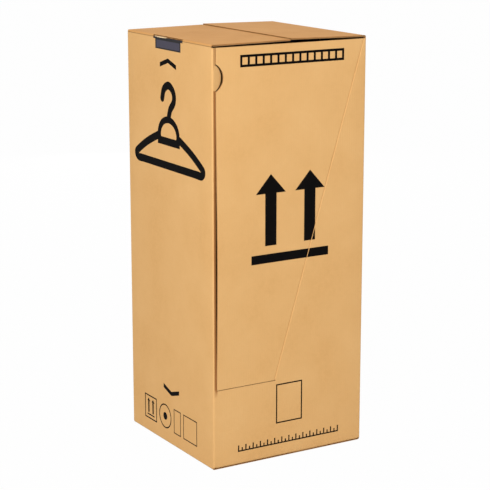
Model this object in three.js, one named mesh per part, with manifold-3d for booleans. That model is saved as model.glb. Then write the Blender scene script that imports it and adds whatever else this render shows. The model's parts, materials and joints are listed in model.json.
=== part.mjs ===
// Wardrobe moving box: a tall corrugated carton with a swinging front door,
// a hanging bar in its side walls and two outer top flaps.
// Millimetres, +Z up. The origin is the middle of the base, the door faces -Y.

import * as THREE from 'three';
import { mergeVertices } from 'three/addons/utils/BufferGeometryUtils.js';
import Module from 'manifold-3d';

const wasm = await Module();
wasm.setup();

// Carton
const WIDTH = 510;
const DEPTH = 502;
const HEIGHT = 1220;
const BOARD = 4.2;
const FOLD_GAP = 0.3;
const EDGE_RADIUS = 4;
const SEAM_GAP = 3;
const FLAP_SETBACK = 0.8;
const GLUE_FLAP_WIDTH = 36;

// Inner flaps
const INNER_FLAP_LENGTH = 243;
const INNER_FLAP_SIDE_GAP = 4;
const INNER_FLAP_CORNER = 14;

// Outer top flaps, held a little open by the spring of the crease
const FLAP_RISE_DEG = 1.5;
const FLAP_CORNER_CUT = 3;

// Door in the front wall
const DOOR_FOOT = 237;
const DOOR_CUT_GAP = 2;
const DOOR_LIP = 11.5;
const DOOR_SIDE_GAP = 0.8;
const DOOR_TOP_GAP = 1.2;
const CREASE_FOOT = 204;
const CREASE_TOP_INSET = 6;
const DOOR_BOW = 7;
const DOOR_BOW_TOP = 1125;

// Half-moon push tab beside the door
const TAB_RADIUS = 39;
const TAB_OFFSET = -6;
const TAB_HEIGHT = 1129;
const TAB_GAP = 3;

// T-shaped slots in the side walls for the hanging bar
const SLOT_WIDTH = 150;
const SLOT_DEPTH = 38;
const SLOT_EAR_WIDTH = 174;
const SLOT_EAR_DEPTH = 10.5;
const SLOT_FLAP_NOTCH = 5;

// Hanging bar
const BAR_FIT = 0.8;
const BAR_SEAT_GAP = 0.3;
const BAR_HEAD_HEIGHT = 4.6;
const BAR_FLANGE = 3;
const BAR_FLANGE_DROP = 6;
const RAIL_WIDTH = 30;
const RAIL_HEIGHT = 24;
const RAIL_WALL = 3;
const RAIL_DROP = 3;
const GUSSET_LENGTH = 70;

// Tape under the bottom seam
const TAPE_WIDTH = 50;
const TAPE_THICKNESS = 0.15;
const TAPE_END_GAP = 6;

// Print
const INK = 0.15;
const INK_DOOR_GAP = 0.1;
const INK_CREASE_GAP = 1.5;
const MARK_LINE = 4;

// Clothes hanger on both side walls, placed by its foot's drop from the top
const HANGER_DROP = 371;
const HANGER_STROKE = 23;
const HANGER_SPAN = 424;
const HANGER_SHOULDER_RISE = 23;
const HANGER_COLLAR_RISE = 89;
const HANGER_COLLAR_RADIUS = 56;
const HANGER_COLLAR_HEIGHT = 45;
const HANGER_BRIDGE_DROP = 19;
const HANGER_HOOK_HEIGHT = 99;
const HANGER_HOOK_HALF = 36;

// Chevrons that point to the top and to the bottom
const CHEVRON_WIDTH = 96;
const CHEVRON_HEIGHT = 28;
const CHEVRON_STROKE = 13;
const TOP_CHEVRON_DROP = 61;
const BOTTOM_CHEVRON_HEIGHT = 154;

// Row of handling marks at the foot of the left wall
const ICON_FOOT = 42;
const ICON_SIZE = 76;
const ICON_SLIP_WIDTH = 42;
const ICON_PANEL_WIDTH = 82;
const ICON_SPACING = 16;
const ICON_ROW_END = 170;
const ICON_ARROW_HEIGHT = 46;
const ICON_ARROW_HALF = 9;
const ICON_ARROW_STEM = 4;
const ICON_DOT_RADIUS = 12;

// Band of rungs at the top of the door
const TITLE_DROP = 32;
const TITLE_WIDTH = 344;
const TITLE_BAND = 34;
const TITLE_RUNGS = 14;
const TITLE_RAIL = 7;
const TITLE_SHIFT = 6;

// Two arrows over a bar on the front
const FRONT_MARK_DROP = 628;
const FRONT_MARK_WIDTH = 262;
const FRONT_MARK_STROKE = 26;
const FRONT_ARROW_GAP = 24;
const FRONT_ARROW_HEIGHT = 206;
const FRONT_ARROW_HALF = 50;
const FRONT_ARROW_STEM = 19;
const FRONT_ARROW_SET = 38;

// Address frame and ruler under the door
const LABEL_FRAME_WIDTH = 90;
const LABEL_FRAME_FOOT = 105;
const LABEL_FRAME_GAP = 12;
const RULER_FOOT = 42;
const RULER_WIDTH = 348;
const RULER_STEPS = 28;
const RULER_TICK = 20;
const RULER_SHORT_SHARE = 0.6;

// Worked-out places
const LEFT = -WIDTH / 2;
const RIGHT = WIDTH / 2;
const FRONT = -DEPTH / 2;
const REAR = DEPTH / 2;
const BASE = TAPE_THICKNESS;
const INNER_FLOOR = BASE + BOARD + FOLD_GAP;
const SIDE_TOP = HEIGHT - BOARD - FOLD_GAP;
const INNER_LID = SIDE_TOP - BOARD;
const DOOR_TOP = HEIGHT - BOARD - DOOR_TOP_GAP;
const DOOR_EDGE = LEFT + DOOR_LIP + DOOR_SIDE_GAP;
const CREASE_FOOT_X = LEFT + CREASE_FOOT;
const CREASE_TOP_X = RIGHT - CREASE_TOP_INSET;
const CREASE_SLOPE = (CREASE_TOP_X - CREASE_FOOT_X) / (HEIGHT - DOOR_FOOT);
const FLAP_LENGTH = WIDTH / 2 - SEAM_GAP / 2;
const SLOT_FLOOR = HEIGHT - SLOT_DEPTH;
const EAR_FLOOR = HEIGHT - SLOT_EAR_DEPTH;
const BAR_TOP = EAR_FLOOR + BAR_SEAT_GAP + BAR_HEAD_HEIGHT;
const RAIL_TOP = INNER_LID - RAIL_DROP;

// Colours read from the photograph
const KRAFT = new THREE.MeshStandardMaterial({ color: 0xd9a868, roughness: 0.9, metalness: 0 });
const KRAFT_TOP = new THREE.MeshStandardMaterial({ color: 0xcd9860, roughness: 0.9, metalness: 0 });
const BAR_PLASTIC = new THREE.MeshStandardMaterial({ color: 0x4a4658, roughness: 0.45, metalness: 0 });
const TAPE_BROWN = new THREE.MeshStandardMaterial({ color: 0xb58a50, roughness: 0.3, metalness: 0 });
const INK_BLACK = new THREE.MeshStandardMaterial({ color: 0x1e1918, roughness: 0.8, metalness: 0 });

// Turns a closed geometry into a solid that can be cut and joined
function solidOf(geometry) {
  const bare = geometry.clone();
  bare.deleteAttribute('normal');
  bare.deleteAttribute('uv');
  const merged = mergeVertices(bare, 1e-4);
  const vertProperties = new Float32Array(merged.attributes.position.array);
  const triVerts = new Uint32Array(merged.index.array);
  return new wasm.Manifold(new wasm.Mesh({ numProp: 3, vertProperties, triVerts }));
}

function geometryOf(solid) {
  const mesh = solid.getMesh();
  const geometry = new THREE.BufferGeometry();
  geometry.setAttribute('position', new THREE.BufferAttribute(new Float32Array(mesh.vertProperties), 3));
  geometry.setIndex(new THREE.BufferAttribute(new Uint32Array(mesh.triVerts), 1));
  geometry.computeVertexNormals();
  return geometry;
}

function joined(solids) {
  return solids.reduce((sum, solid) => sum.add(solid));
}

function block(x0, x1, y0, y1, z0, z1) {
  const geometry = new THREE.BoxGeometry(x1 - x0, y1 - y0, z1 - z0);
  geometry.translate((x0 + x1) / 2, (y0 + y1) / 2, (z0 + z1) / 2);
  return solidOf(geometry);
}

function shapeOf(points) {
  return new THREE.Shape(points.map(([a, b]) => new THREE.Vector2(a, b)));
}

function extruded(shape, depth, curveSegments = 10) {
  return new THREE.ExtrudeGeometry(shape, { depth, bevelEnabled: false, curveSegments });
}

// A shape drawn in x and z, with its thickness from y0 to y1
function alongY(shape, y0, y1, curveSegments) {
  const geometry = extruded(shape, y1 - y0, curveSegments);
  geometry.rotateX(Math.PI / 2);
  geometry.translate(0, y1, 0);
  return solidOf(geometry);
}

// A shape drawn in y and z, with its thickness from x0 to x1
function alongX(shape, x0, x1, curveSegments) {
  const geometry = extruded(shape, x1 - x0, curveSegments);
  const turn = new THREE.Matrix4().makeBasis(
    new THREE.Vector3(0, 1, 0),
    new THREE.Vector3(0, 0, 1),
    new THREE.Vector3(1, 0, 0),
  );
  geometry.applyMatrix4(turn);
  geometry.translate(x0, 0, 0);
  return solidOf(geometry);
}

// A shape drawn in x and y, with its thickness from z0 to z1
function alongZ(shape, z0, z1, curveSegments) {
  const geometry = extruded(shape, z1 - z0, curveSegments);
  geometry.translate(0, 0, z0);
  return solidOf(geometry);
}

function rectangle(a0, a1, b0, b1) {
  return shapeOf([[a0, b0], [a1, b0], [a1, b1], [a0, b1]]);
}

function roundedRectangle(a0, a1, b0, b1, radius) {
  const shape = new THREE.Shape();
  shape.moveTo(a0 + radius, b0);
  shape.lineTo(a1 - radius, b0);
  shape.absarc(a1 - radius, b0 + radius, radius, -Math.PI / 2, 0);
  shape.lineTo(a1, b1 - radius);
  shape.absarc(a1 - radius, b1 - radius, radius, 0, Math.PI / 2);
  shape.lineTo(a0 + radius, b1);
  shape.absarc(a0 + radius, b1 - radius, radius, Math.PI / 2, Math.PI);
  shape.lineTo(a0, b0 + radius);
  shape.absarc(a0 + radius, b0 + radius, radius, Math.PI, Math.PI * 1.5);
  return shape;
}

function disc(a, b, radius) {
  const shape = new THREE.Shape();
  shape.absarc(a, b, radius, 0, Math.PI * 2);
  return shape;
}

// A face that springs from a crease and has its free corners cut off
function flapShape(a0, a1, b0, b1, corner) {
  return shapeOf([
    [a0, b0],
    [a1, b0],
    [a1, b1 - corner],
    [a1 - corner, b1],
    [a0 + corner, b1],
    [a0, b1 - corner],
  ]);
}

// Outline of the T slot, widened by an allowance
function slotShape(grow) {
  const half = SLOT_WIDTH / 2 + grow;
  const ear = SLOT_EAR_WIDTH / 2 + grow;
  const above = HEIGHT + BOARD;
  return shapeOf([
    [-half, SLOT_FLOOR - grow],
    [half, SLOT_FLOOR - grow],
    [half, EAR_FLOOR - grow],
    [ear, EAR_FLOOR - grow],
    [ear, above],
    [-ear, above],
    [-ear, EAR_FLOOR - grow],
    [-half, EAR_FLOOR - grow],
  ]);
}

function creaseX(z) {
  return CREASE_FOOT_X + CREASE_SLOPE * (z - DOOR_FOOT);
}

// The door's outline in x and z, with the half moon cut from its free edge
function doorSolid(y0, y1, creaseGap) {
  const foot = DOOR_FOOT + DOOR_CUT_GAP;
  const outline = shapeOf([
    [DOOR_EDGE, foot],
    [creaseX(foot) - creaseGap, foot],
    [creaseX(DOOR_TOP) - creaseGap, DOOR_TOP],
    [DOOR_EDGE, DOOR_TOP],
  ]);
  const notch = alongY(disc(LEFT + TAB_OFFSET, TAB_HEIGHT, TAB_RADIUS + TAB_GAP), y0 - 1, y1 + 1, 40);
  return alongY(outline, y0, y1).subtract(notch);
}

// How far the door bellies out: nothing at the crease, most along the free edge
function bowAt(x, z) {
  const along = THREE.MathUtils.clamp((z - DOOR_FOOT) / (DOOR_BOW_TOP - DOOR_FOOT), 0, 1);
  const across = THREE.MathUtils.clamp((creaseX(z) - x) / (creaseX(z) - DOOR_EDGE), 0, 1);
  return DOOR_BOW * Math.sin(Math.PI * along ** 0.8) ** 1.6 * across ** 2;
}

// A sheet that follows the belly of the door, between two depths
function bowedSheet(y0, y1, columns, rows) {
  const geometry = new THREE.BoxGeometry(1, 1, 1, columns, 1, rows);
  const position = geometry.attributes.position;
  for (let i = 0; i < position.count; i += 1) {
    const z = DOOR_FOOT + (position.getZ(i) + 0.5) * (DOOR_TOP + 1 - DOOR_FOOT);
    const across = position.getX(i) + 0.5;
    const x = THREE.MathUtils.lerp(DOOR_EDGE - 1, creaseX(z), across);
    const y = THREE.MathUtils.lerp(y0, y1, position.getY(i) + 0.5);
    position.setXYZ(i, x, y - bowAt(x, z), z);
  }
  return solidOf(geometry);
}

function bowedDoor(y0, y1, creaseGap = FOLD_GAP) {
  const reach = DOOR_BOW + BOARD * 2;
  return bowedSheet(y0, y1, 10, 26).intersect(doorSolid(FRONT - reach, FRONT + reach, creaseGap));
}

// The folded and glued sheet: walls, bottom flaps, rear top flap and half-moon tab
function cartonBody() {
  const outer = roundedRectangle(LEFT, RIGHT, FRONT, REAR, EDGE_RADIUS);
  outer.holes.push(rectangle(LEFT + BOARD, RIGHT - BOARD, FRONT + BOARD, REAR - BOARD));
  const walls = alongZ(outer, BASE, SIDE_TOP, 6);
  const inside = [LEFT + BOARD + INNER_FLAP_SIDE_GAP, RIGHT - BOARD - INNER_FLAP_SIDE_GAP];

  const outerFlapFront = FRONT + FLAP_SETBACK;
  const outerFlapRear = REAR - FLAP_SETBACK;
  const wallOverlap = 1;
  const flapRoot = LEFT + BOARD - wallOverlap;
  const bottomLeft = block(flapRoot, -SEAM_GAP / 2, outerFlapFront, outerFlapRear, BASE, BASE + BOARD);
  const bottomRight = block(SEAM_GAP / 2, -flapRoot, outerFlapFront, outerFlapRear, BASE, BASE + BOARD);

  const frontRoot = FRONT + BOARD - wallOverlap;
  const rearRoot = REAR - BOARD + wallOverlap;
  const frontTip = FRONT + INNER_FLAP_LENGTH;
  const rearTip = REAR - INNER_FLAP_LENGTH;
  const cornerCut = INNER_FLAP_CORNER;
  const frontFlap = flapShape(...inside, frontRoot, frontTip, cornerCut);
  const rearFlap = shapeOf([
    [inside[0], rearRoot],
    [inside[0], rearTip + cornerCut],
    [inside[0] + cornerCut, rearTip],
    [inside[1] - cornerCut, rearTip],
    [inside[1], rearTip + cornerCut],
    [inside[1], rearRoot],
  ]);
  const innerFlaps = [
    alongZ(frontFlap, INNER_FLOOR, INNER_FLOOR + BOARD),
    alongZ(rearFlap, INNER_FLOOR, INNER_FLOOR + BOARD),
    alongZ(rearFlap, INNER_LID, SIDE_TOP),
  ];

  // The front and rear walls fold onto the inner flaps, a board above the outer flaps
  const underWall = [LEFT + BOARD, RIGHT - BOARD];
  const frontStep = block(...underWall, FRONT - 1, outerFlapFront, BASE - 1, INNER_FLOOR);
  const rearStep = block(...underWall, outerFlapRear, REAR + 1, BASE - 1, INNER_FLOOR);
  const frontSlit = block(...underWall, FRONT - 1, FRONT + BOARD, BASE + BOARD, INNER_FLOOR);
  const rearSlit = block(...underWall, REAR - BOARD, REAR + 1, BASE + BOARD, INNER_FLOOR);

  // The glue flap lies inside the right wall at the rear corner
  const glueX1 = RIGHT - BOARD + wallOverlap;
  const glueX0 = RIGHT - BOARD * 2;
  const glueFoot = INNER_FLOOR + BOARD + FOLD_GAP;
  const glueTop = INNER_LID - FOLD_GAP;
  const glueShape = shapeOf([
    [REAR - BOARD + wallOverlap, glueFoot],
    [REAR - BOARD + wallOverlap, glueTop],
    [REAR - BOARD - GLUE_FLAP_WIDTH, glueTop - GLUE_FLAP_WIDTH / 2],
    [REAR - BOARD - GLUE_FLAP_WIDTH, glueFoot + GLUE_FLAP_WIDTH / 2],
  ]);
  const glueFlap = alongX(glueShape, glueX0, glueX1);

  const reach = 1;
  const doorway = shapeOf([
    [LEFT + DOOR_LIP, DOOR_FOOT],
    [CREASE_FOOT_X, DOOR_FOOT],
    [creaseX(HEIGHT), HEIGHT],
    [LEFT + DOOR_LIP, HEIGHT],
  ]);
  const doorCut = alongY(doorway, FRONT - reach, FRONT + BOARD);
  const frontTopCut = block(...underWall, FRONT - reach, FRONT + BOARD, DOOR_TOP, HEIGHT);
  const halfMoon = alongY(disc(LEFT + TAB_OFFSET, TAB_HEIGHT, TAB_RADIUS), FRONT, FRONT + BOARD, 40);
  const tabSide = block(LEFT + BOARD - wallOverlap, RIGHT, FRONT - reach, FRONT + BOARD * 2, 0, HEIGHT);

  const slots = alongX(slotShape(0), LEFT - reach, RIGHT + reach);
  const rounded = roundedRectangle(LEFT, RIGHT, BASE, HEIGHT * 2, EDGE_RADIUS);
  const bottomRound = alongY(rounded, FRONT - reach, REAR + reach, 6);
  const sheet = joined([walls, bottomLeft, bottomRight])
    .subtract(frontStep)
    .subtract(rearStep)
    .subtract(frontSlit)
    .subtract(rearSlit)
    .intersect(bottomRound)
    .subtract(doorCut)
    .subtract(frontTopCut);
  return joined([sheet, ...innerFlaps, glueFlap, halfMoon.intersect(tabSide)]).subtract(slots);
}

// An outer top flap, drawn flat with its crease on the origin and running along +X
function topFlap() {
  const cut = FLAP_CORNER_CUT;
  const flat = shapeOf([
    [0, FRONT + FLAP_SETBACK + cut],
    [cut, FRONT + FLAP_SETBACK],
    [FLAP_LENGTH, FRONT + FLAP_SETBACK],
    [FLAP_LENGTH, REAR - FLAP_SETBACK],
    [cut, REAR - FLAP_SETBACK],
    [0, REAR - FLAP_SETBACK - cut],
  ]);
  const crease = alongY(roundedRectangle(0, FLAP_LENGTH * 2, -BOARD * 4, 0, EDGE_RADIUS), FRONT, REAR, 6);
  const ear = SLOT_EAR_WIDTH / 2;
  const notch = block(-1, SLOT_FLAP_NOTCH, -ear, ear, -BOARD * 2, 1);
  return alongZ(flat, -BOARD, 0).intersect(crease).subtract(notch);
}

// The hanging bar: a channel rail with a flanged T plate at each end
function hangingBar() {
  const half = SLOT_WIDTH / 2 - BAR_FIT;
  const ear = SLOT_EAR_WIDTH / 2 - BAR_FIT;
  const plateFoot = SLOT_FLOOR + BAR_SEAT_GAP;
  const earFoot = EAR_FLOOR + BAR_SEAT_GAP;
  const plate = shapeOf([
    [-half, plateFoot],
    [half, plateFoot],
    [half, earFoot],
    [ear, earFoot],
    [ear, BAR_TOP],
    [-ear, BAR_TOP],
    [-ear, earFoot],
    [-half, earFoot],
  ]);
  const flange = rectangle(-ear, ear, SLOT_FLOOR - BAR_FLANGE_DROP, INNER_LID - FOLD_GAP);
  const wallInside = LEFT + BOARD + BAR_SEAT_GAP;
  const flangeEnd = wallInside + BAR_FLANGE;
  const railFoot = RAIL_TOP - RAIL_HEIGHT;
  const railHalf = RAIL_WIDTH / 2;
  const channel = shapeOf([
    [-railHalf, railFoot],
    [-railHalf + RAIL_WALL, railFoot],
    [-railHalf + RAIL_WALL, RAIL_TOP - RAIL_WALL],
    [railHalf - RAIL_WALL, RAIL_TOP - RAIL_WALL],
    [railHalf - RAIL_WALL, railFoot],
    [railHalf, railFoot],
    [railHalf, RAIL_TOP - RAIL_WALL],
    [railHalf - RAIL_WALL, RAIL_TOP],
    [-railHalf + RAIL_WALL, RAIL_TOP],
    [-railHalf, RAIL_TOP - RAIL_WALL],
  ]);
  const rail = alongX(channel, wallInside + 1, -wallInside - 1);
  const gussetShape = shapeOf([
    [wallInside + 1, -ear + RAIL_WALL],
    [flangeEnd + GUSSET_LENGTH, -railHalf + 1],
    [flangeEnd + GUSSET_LENGTH, railHalf - 1],
    [wallInside + 1, ear - RAIL_WALL],
  ]);
  const leftEnd = joined([
    alongX(plate, LEFT + BAR_SEAT_GAP, wallInside + 1),
    alongX(flange, wallInside, flangeEnd),
    alongZ(gussetShape, RAIL_TOP - RAIL_WALL, RAIL_TOP),
  ]);
  return joined([leftEnd, leftEnd.mirror([1, 0, 0]), rail]);
}

function bottomTape() {
  const half = TAPE_WIDTH / 2;
  return block(-half, half, FRONT + TAPE_END_GAP, REAR - TAPE_END_GAP, 0, TAPE_THICKNESS);
}

// Print on the left wall faces -X, on the right wall +X and on the front -Y
function onLeft(shapes) {
  return joined(shapes.map((shape) => alongX(shape, LEFT - INK, LEFT, 24)));
}

function onRight(shapes) {
  return joined(shapes.map((shape) => alongX(shape, RIGHT, RIGHT + INK, 24)));
}

function onFixedFront(shapes) {
  const right = creaseX(HEIGHT);
  const fixed = shapeOf([
    [LEFT, 0],
    [RIGHT, 0],
    [RIGHT, HEIGHT],
    [right + INK_CREASE_GAP, HEIGHT],
    [CREASE_FOOT_X + INK_CREASE_GAP, DOOR_FOOT],
    [LEFT, DOOR_FOOT],
  ]);
  const ink = joined(shapes.map((shape) => alongY(shape, FRONT - INK, FRONT, 24)));
  return ink.intersect(alongY(fixed, FRONT - 1, FRONT + 1));
}

function onDoor(shapes) {
  const reach = DOOR_BOW + BOARD;
  const skin = bowedDoor(FRONT - INK_DOOR_GAP - INK, FRONT - INK_DOOR_GAP, INK_CREASE_GAP);
  return joined(shapes.map((shape) => alongY(shape, FRONT - reach, FRONT + 1, 24))).intersect(skin);
}

// A closed band of even width along a line of points
function band(points, width, curveSteps = 0) {
  const path = points.map(([a, b]) => new THREE.Vector2(a, b));
  const line = curveSteps > 0 ? new THREE.SplineCurve(path).getPoints(curveSteps) : path;
  const near = [];
  const far = [];
  line.forEach((point, i) => {
    const before = line[Math.max(i - 1, 0)];
    const after = line[Math.min(i + 1, line.length - 1)];
    const side = after.clone().sub(before).normalize().multiplyScalar(width / 2);
    near.push([point.x - side.y, point.y + side.x]);
    far.unshift([point.x + side.y, point.y - side.x]);
  });
  return shapeOf([...near, ...far].reverse());
}

// A common clothes hanger: round collar, sloped arms, a bottom bar and a hook
function hangerShapes() {
  const half = HANGER_STROKE / 2;
  const tip = HANGER_SPAN / 2 - half;
  const radius = HANGER_COLLAR_RADIUS;
  const foot = HEIGHT - HANGER_DROP;
  const shoulder = foot + HANGER_SHOULDER_RISE;
  const collar = foot + HANGER_COLLAR_RISE;
  const bridge = collar - HANGER_BRIDGE_DROP;
  const arms = [-1, 1].map((side) => band([
    [side * radius * 0.85, collar],
    [side * (radius + tip) / 2, (collar + shoulder) / 2],
    [side * (tip - half), shoulder],
    [side * tip, (shoulder + foot) / 2],
    [side * (tip - half), foot],
    [side * (tip - HANGER_STROKE * 2), foot],
  ], HANGER_STROKE, 24));
  const arch = [];
  const archSteps = 14;
  for (let step = 0; step <= archSteps; step += 1) {
    const angle = (Math.PI * step) / archSteps;
    arch.push([Math.cos(angle) * radius, collar + Math.sin(angle) * HANGER_COLLAR_HEIGHT]);
  }
  const neck = collar + HANGER_COLLAR_HEIGHT;
  const rise = HANGER_HOOK_HEIGHT;
  const bend = HANGER_HOOK_HALF;
  const hook = band([
    [0, neck],
    [-bend * 0.3, neck + rise * 0.3],
    [-bend * 0.9, neck + rise * 0.55],
    [-bend * 0.85, neck + rise * 0.82],
    [-bend * 0.1, neck + rise],
    [bend * 0.7, neck + rise * 0.87],
    [bend, neck + rise * 0.6],
  ], HANGER_STROKE, 30);
  return [
    ...arms,
    band([[radius, bridge], ...arch, [-radius, bridge]], HANGER_STROKE * 0.85),
    rectangle(-radius - half * 0.85, radius + half * 0.85, bridge - half, bridge + half),
    rectangle(HANGER_STROKE - tip, tip - HANGER_STROKE, foot - half, foot + half),
    hook,
    disc(bend, neck + rise * 0.6, half),
  ];
}

function upArrow(a, foot, height, halfHead, halfStem) {
  const neck = foot + height - halfHead * 1.1;
  return shapeOf([
    [a - halfStem, foot],
    [a + halfStem, foot],
    [a + halfStem, neck],
    [a + halfHead, neck],
    [a, foot + height],
    [a - halfHead, neck],
    [a - halfStem, neck],
  ]);
}

function frame(a0, a1, b0, b1, line) {
  const shape = rectangle(a0, a1, b0, b1);
  shape.holes.push(rectangle(a0 + line, a1 - line, b0 + line, b1 - line));
  return shape;
}

function ring(a, b, radius, line) {
  const shape = disc(a, b, radius);
  shape.holes.push(disc(a, b, radius - line));
  return shape;
}

// Two rails joined by evenly spaced rungs
function ladderShapes(a0, a1, b0, b1, gaps, line) {
  const pitch = (a1 - a0 - line) / gaps;
  const shapes = [rectangle(a0, a1, b0, b0 + line), rectangle(a0, a1, b1 - line, b1)];
  for (let i = 0; i <= gaps; i += 1) {
    const start = a0 + i * pitch;
    shapes.push(rectangle(start, start + line, b0, b1));
  }
  return shapes;
}

// A base line with ticks of two lengths, as on a ruler
function rulerShapes(a0, a1, b0, tick, gaps, line) {
  const pitch = (a1 - a0 - line) / gaps;
  const shapes = [rectangle(a0, a1, b0, b0 + line)];
  for (let i = 0; i <= gaps; i += 1) {
    const start = a0 + i * pitch;
    const height = i % 2 === 0 ? tick : tick * RULER_SHORT_SHARE;
    shapes.push(rectangle(start, start + line, b0, b0 + height));
  }
  return shapes;
}

// A wide chevron between two heights, which points to the second
function chevron(tail, point) {
  const half = CHEVRON_WIDTH / 2;
  const stroke = CHEVRON_STROKE * Math.sign(point - tail);
  const points = [
    [-half, tail],
    [0, point - stroke],
    [half, tail],
    [half, tail + stroke],
    [0, point],
    [-half, tail + stroke],
  ];
  return shapeOf(point > tail ? points : points.reverse());
}

// Assembly
const box = new THREE.Group();

function addMesh(name, solid, material, parent = box) {
  const mesh = new THREE.Mesh(geometryOf(solid), material);
  mesh.name = name;
  parent.add(mesh);
  return mesh;
}

addMesh('carton_body', cartonBody(), KRAFT);
addMesh('door', bowedDoor(FRONT, FRONT + BOARD), KRAFT);

const leftFlap = addMesh('top_flap_left', topFlap(), KRAFT_TOP);
leftFlap.position.set(LEFT, 0, HEIGHT);
leftFlap.rotation.y = -THREE.MathUtils.degToRad(FLAP_RISE_DEG);

const rightFlap = addMesh('top_flap_right', topFlap().mirror([1, 0, 0]), KRAFT_TOP);
rightFlap.position.set(RIGHT, 0, HEIGHT);
rightFlap.rotation.y = THREE.MathUtils.degToRad(FLAP_RISE_DEG);

addMesh('hanging_bar', hangingBar(), BAR_PLASTIC);
addMesh('bottom_tape', bottomTape(), TAPE_BROWN);

// Print on both side walls
const topChevronTip = HEIGHT - TOP_CHEVRON_DROP;
const topChevron = chevron(topChevronTip - CHEVRON_HEIGHT, topChevronTip);
const bottomChevron = chevron(BOTTOM_CHEVRON_HEIGHT + CHEVRON_HEIGHT, BOTTOM_CHEVRON_HEIGHT);
for (const [side, place] of [['left', onLeft], ['right', onRight]]) {
  addMesh(`hanger_print_${side}`, place(hangerShapes()), INK_BLACK);
  addMesh(`top_mark_${side}`, place([topChevron]), INK_BLACK);
  addMesh(`bottom_mark_${side}`, place([bottomChevron]), INK_BLACK);
}

// Handling marks, from the rear to the front: framed arrows, ring, slip and panel
const iconTop = ICON_FOOT + ICON_SIZE;
const iconMiddle = ICON_FOOT + ICON_SIZE / 2;
const thinLine = MARK_LINE * 0.75;
const frameStart = ICON_ROW_END - ICON_SIZE;
const ringMiddle = frameStart - ICON_SPACING - ICON_SIZE / 2;
const slipEnd = ringMiddle - ICON_SIZE / 2 - ICON_SPACING;
const slipStart = slipEnd - ICON_SLIP_WIDTH;
const panelEnd = slipStart - ICON_SPACING;
const arrowFoot = iconMiddle - ICON_ARROW_HEIGHT * 0.4;
const arrowBar = [arrowFoot - MARK_LINE * 2, arrowFoot - MARK_LINE];
const arrowRear = frameStart + ICON_SIZE * 0.68;
const arrowFront = frameStart + ICON_SIZE * 0.32;
const iconArrow = (middle) => {
  return upArrow(middle, arrowFoot, ICON_ARROW_HEIGHT, ICON_ARROW_HALF, ICON_ARROW_STEM);
};
const arrowBarShape = rectangle(arrowFront - ICON_ARROW_HALF, arrowRear + ICON_ARROW_HALF, ...arrowBar);
const marks = {
  mark_frame: frame(frameStart, ICON_ROW_END, ICON_FOOT, iconTop, MARK_LINE),
  mark_arrow_rear: iconArrow(arrowRear),
  mark_arrow_front: iconArrow(arrowFront),
  mark_arrow_bar: arrowBarShape,
  mark_ring: ring(ringMiddle, iconMiddle, ICON_SIZE / 2, MARK_LINE),
  mark_ring_dot: disc(ringMiddle, iconMiddle, ICON_DOT_RADIUS),
  mark_slip: frame(slipStart, slipEnd, ICON_FOOT, iconTop, thinLine),
  mark_panel: frame(panelEnd - ICON_PANEL_WIDTH, panelEnd, ICON_FOOT, iconTop, thinLine),
};
for (const [name, shape] of Object.entries(marks)) {
  addMesh(name, onLeft([shape]), INK_BLACK);
}

// Title band
const titleEnds = [TITLE_SHIFT - TITLE_WIDTH / 2, TITLE_SHIFT + TITLE_WIDTH / 2];
const titleTop = HEIGHT - TITLE_DROP;
const titleBand = ladderShapes(...titleEnds, titleTop - TITLE_BAND, titleTop, TITLE_RUNGS, TITLE_RAIL);
addMesh('title_band', onDoor(titleBand), INK_BLACK);

// The right arrow sits on the door's crease, so it is printed half on the door
const barFoot = HEIGHT - FRONT_MARK_DROP;
const barTop = barFoot + FRONT_MARK_STROKE;
const frontArrowFoot = barTop + FRONT_ARROW_GAP;
const frontArrowX = creaseX(frontArrowFoot + FRONT_ARROW_HEIGHT / 2) - FRONT_ARROW_SET;
const frontArrow = (middle) => {
  return upArrow(middle, frontArrowFoot, FRONT_ARROW_HEIGHT, FRONT_ARROW_HALF, FRONT_ARROW_STEM);
};
const frontBar = rectangle(-FRONT_MARK_WIDTH / 2, FRONT_MARK_WIDTH / 2, barFoot, barTop);
addMesh('front_arrow_left', onDoor([frontArrow(-frontArrowX)]), INK_BLACK);
addMesh('front_arrow_right', onDoor([frontArrow(frontArrowX)]), INK_BLACK);
addMesh('front_arrow_right_edge', onFixedFront([frontArrow(frontArrowX)]), INK_BLACK);
addMesh('front_bar_door', onDoor([frontBar]), INK_BLACK);
addMesh('front_bar_edge', onFixedFront([frontBar]), INK_BLACK);

// Address frame and ruler
const labelHalf = LABEL_FRAME_WIDTH / 2;
const labelFrame = frame(-labelHalf, labelHalf, LABEL_FRAME_FOOT, DOOR_FOOT - LABEL_FRAME_GAP, MARK_LINE);
const rulerEnds = [-RULER_WIDTH / 2, RULER_WIDTH / 2];
const ruler = rulerShapes(...rulerEnds, RULER_FOOT, RULER_TICK, RULER_STEPS, MARK_LINE);
addMesh('label_frame', onFixedFront([labelFrame]), INK_BLACK);
addMesh('footer_ruler', onFixedFront(ruler), INK_BLACK);

export default box;
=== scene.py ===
"""Looks of a wardrobe moving box: layered corrugated board, black print, a moulded bar and tape.

Lengths are in metres in the row frame. A board is two paper liners with a fluted one between them.
Its flat blank is drawn in u, across the flutes, and v, along them, and a place function folds it.
"""

import json
import math

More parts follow.
